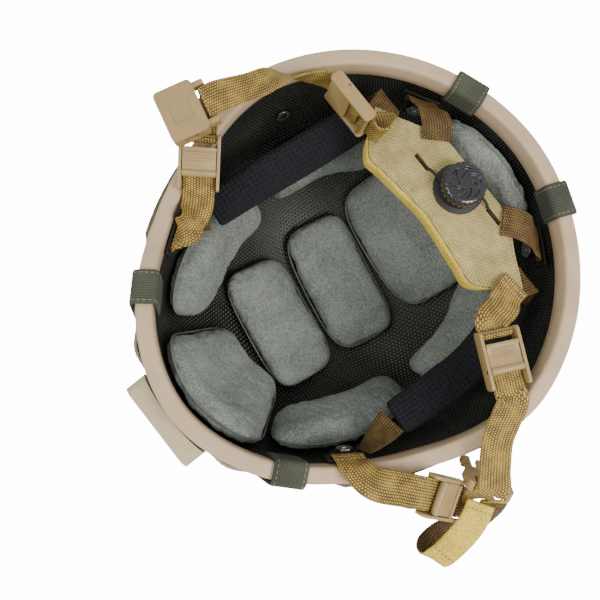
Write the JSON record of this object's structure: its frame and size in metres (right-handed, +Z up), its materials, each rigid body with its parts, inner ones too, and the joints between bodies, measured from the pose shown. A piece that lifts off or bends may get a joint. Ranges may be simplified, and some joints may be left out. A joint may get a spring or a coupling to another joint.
{
  "type": "combat helmet",
  "caption": "Covered ballistic helmet lying on its crown, open side up, with cushions, a dial-fit nape pad, cam-slider webbing, a side-release buckle and a suede chin strap",
  "frame": {"origin": "middle of the flat patch under the crown, where the upturned helmet rests", "axes": "+Z up out of the head opening, -Y towards the brow, +X towards the wearer's right"},
  "size_m": [0.3218, 0.283, 0.165],
  "materials": {
    "shell": "dark woven composite, satin with small glints",
    "trim": "pale beige moulded edge trim, matt",
    "cover": "grey-olive ripstop cloth",
    "tab_cloth": "grey-olive hook-and-loop cloth",
    "loop_panel": "dark fuzzy loop cloth",
    "shroud": "tan moulded plastic, matt",
    "rail": "brown-olive moulded plastic, matt",
    "dark_steel": "blackened steel",
    "bright_steel": "plated steel, slightly worn",
    "hook_tape": "black hook tape",
    "pad_foam": "grey-green brushed cloth over foam",
    "sleeve": "near-black dimpled spacer mesh",
    "brown_webbing": "brown woven webbing",
    "webbing": "coyote woven webbing",
    "nape_cloth": "khaki coated cloth",
    "suede": "yellow-khaki suede",
    "dial_black": "black moulded plastic",
    "dial_gloss": "dark glossy plastic",
    "spool": "pale moulded plastic",
    "lace": "black coated lace",
    "tan_plastic": "tan moulded plastic, matt"
  },
  "bodies": {
    "helmet": {"shell": "shell", "edge_trim": "trim", "cover": "cover", "cover_tab_front_left": "tab_cloth", "cover_tab_front_right": "tab_cloth", "cover_tab_rear_left": "tab_cloth", "cover_tab_rear_right": "tab_cloth", "rear_loop_panel": "loop_panel", "front_shroud": "shroud", "shroud_screws": "dark_steel", "side_rail_left": "rail", "side_rail_right": "rail", "rail_screws": "dark_steel", "anchor_brackets": "dark_steel", "anchor_bolts": "bright_steel", "inner_nuts": "bright_steel", "hook_discs": "hook_tape", "forehead_pad": "pad_foam", "front_pad_left": "pad_foam", "front_pad_right": "pad_foam", "rear_pad_left": "pad_foam", "rear_pad_right": "pad_foam", "crown_pad_front": "pad_foam", "crown_pad_middle": "pad_foam", "crown_pad_rear": "pad_foam", "nape_rest_pad": "pad_foam", "sleeve_left": "sleeve", "sleeve_right": "sleeve", "sleeve_webbing": "brown_webbing", "rear_strap_left": "brown_webbing", "rear_strap_right": "brown_webbing", "side_strap_left": "webbing", "side_strap_right": "webbing", "front_strap_left": "webbing", "front_strap_right": "webbing", "socket_link": "webbing", "plug_link": "webbing", "chin_strap": "suede"},
    "nape": {"nape_pad": "nape_cloth", "nape_binding": "suede", "dial_base": "dial_black", "dial_lace": "lace", "nape_link_left": "webbing", "nape_link_right": "webbing"},
    "dial_spool": {"dial_spool": "spool"},
    "dial_knob": {"dial_knob": "dial_gloss"},
    "socket": {"buckle_socket": "tan_plastic"},
    "plug": {"buckle_plug": "tan_plastic"},
    "slider_rear_left": {"slider_rear_left": "tan_plastic", "slider_pin_rear_left": "bright_steel"},
    "lever_rear_left": {"lever_rear_left": "tan_plastic"},
    "slider_rear_right": {"slider_rear_right": "tan_plastic", "slider_pin_rear_right": "bright_steel"},
    "lever_rear_right": {"lever_rear_right": "tan_plastic"},
    "slider_front_left": {"slider_front_left": "tan_plastic", "slider_pin_front_left": "bright_steel"},
    "lever_front_left": {"lever_front_left": "tan_plastic"},
    "slider_front_right": {"slider_front_right": "tan_plastic", "slider_pin_front_right": "bright_steel"},
    "lever_front_right": {"lever_front_right": "tan_plastic"}
  },
  "joints": [
    {"name": "nape_slide", "type": "slide", "parent": "helmet", "child": "nape", "axis": [0, -1, 0], "range_m": [0, 0.01], "deforming": ["rear_strap_left", "rear_strap_right", "sleeve_webbing", "side_strap_left", "side_strap_right"]},
    {"name": "dial_turn", "type": "hinge", "parent": "nape", "child": "dial_spool", "pos_m": [0, 0.077, 0.1425], "axis": [0, 0, 1], "range_deg": [0, 85]},
    {"name": "dial_pull", "type": "slide", "parent": "dial_spool", "child": "dial_knob", "axis": [0, 0, 1], "range_m": [0, 0.0025]},
    {"name": "slider_rear_left_slide", "type": "slide", "parent": "nape", "child": "slider_rear_left", "axis": [1, 0, 0], "range_m": [-0.004, 0.003], "deforming": ["nape_link_left"]},
    {"name": "lever_rear_left_open", "type": "hinge", "parent": "slider_rear_left", "child": "lever_rear_left", "pos_m": [-0.0825, 0.0534, 0.153], "axis": [0, 0, 1], "range_deg": [0, 70]},
    {"name": "slider_rear_right_slide", "type": "slide", "parent": "nape", "child": "slider_rear_right", "axis": [-0.8924, 0.4512, 0], "range_m": [-0.004, 0.003], "deforming": ["nape_link_right"]},
    {"name": "lever_rear_right_open", "type": "hinge", "parent": "slider_rear_right", "child": "lever_rear_right", "pos_m": [0.09495, 0.02629, 0.1519], "axis": [0.4512, 0.8924, 0], "range_deg": [0, 70]},
    {"name": "slider_front_left_slide", "type": "slide", "parent": "helmet", "child": "slider_front_left", "axis": [-0.7122, 0.6019, 0.3611], "range_m": [-0.0035, 0.0002], "deforming": ["socket_link"]},
    {"name": "lever_front_left_open", "type": "hinge", "parent": "slider_front_left", "child": "lever_front_left", "pos_m": [-0.10074, -0.03835, 0.1305], "axis": [0.6395, 0.7685, -0.0196], "range_deg": [0, 70]},
    {"name": "slider_front_right_slide", "type": "slide", "parent": "helmet", "child": "slider_front_right", "axis": [0.6679, 0.4685, -0.5782], "range_m": [-0.003, 0.003], "deforming": ["plug_link"]},
    {"name": "lever_front_right_open", "type": "hinge", "parent": "slider_front_right", "child": "lever_front_right", "pos_m": [0.13084, -0.04505, 0.12822], "axis": [0.5088, -0.8545, -0.1047], "range_deg": [0, 70]},
    {"name": "socket_tilt", "type": "hinge", "parent": "helmet", "child": "socket", "pos_m": [-0.1257, -0.0117, 0.148], "axis": [-0.9724, 0.2332, -0.0011], "range_deg": [0, 25]},
    {"name": "plug_tilt", "type": "hinge", "parent": "helmet", "child": "plug", "pos_m": [0.147, -0.0188, 0.127], "axis": [0.8412, 0.5408, 0], "range_deg": [-3, 10]}
  ],
  "couplings": [
    {"joint": "dial_turn", "follows": "nape_slide", "rad_per_m": 147}
  ]
}
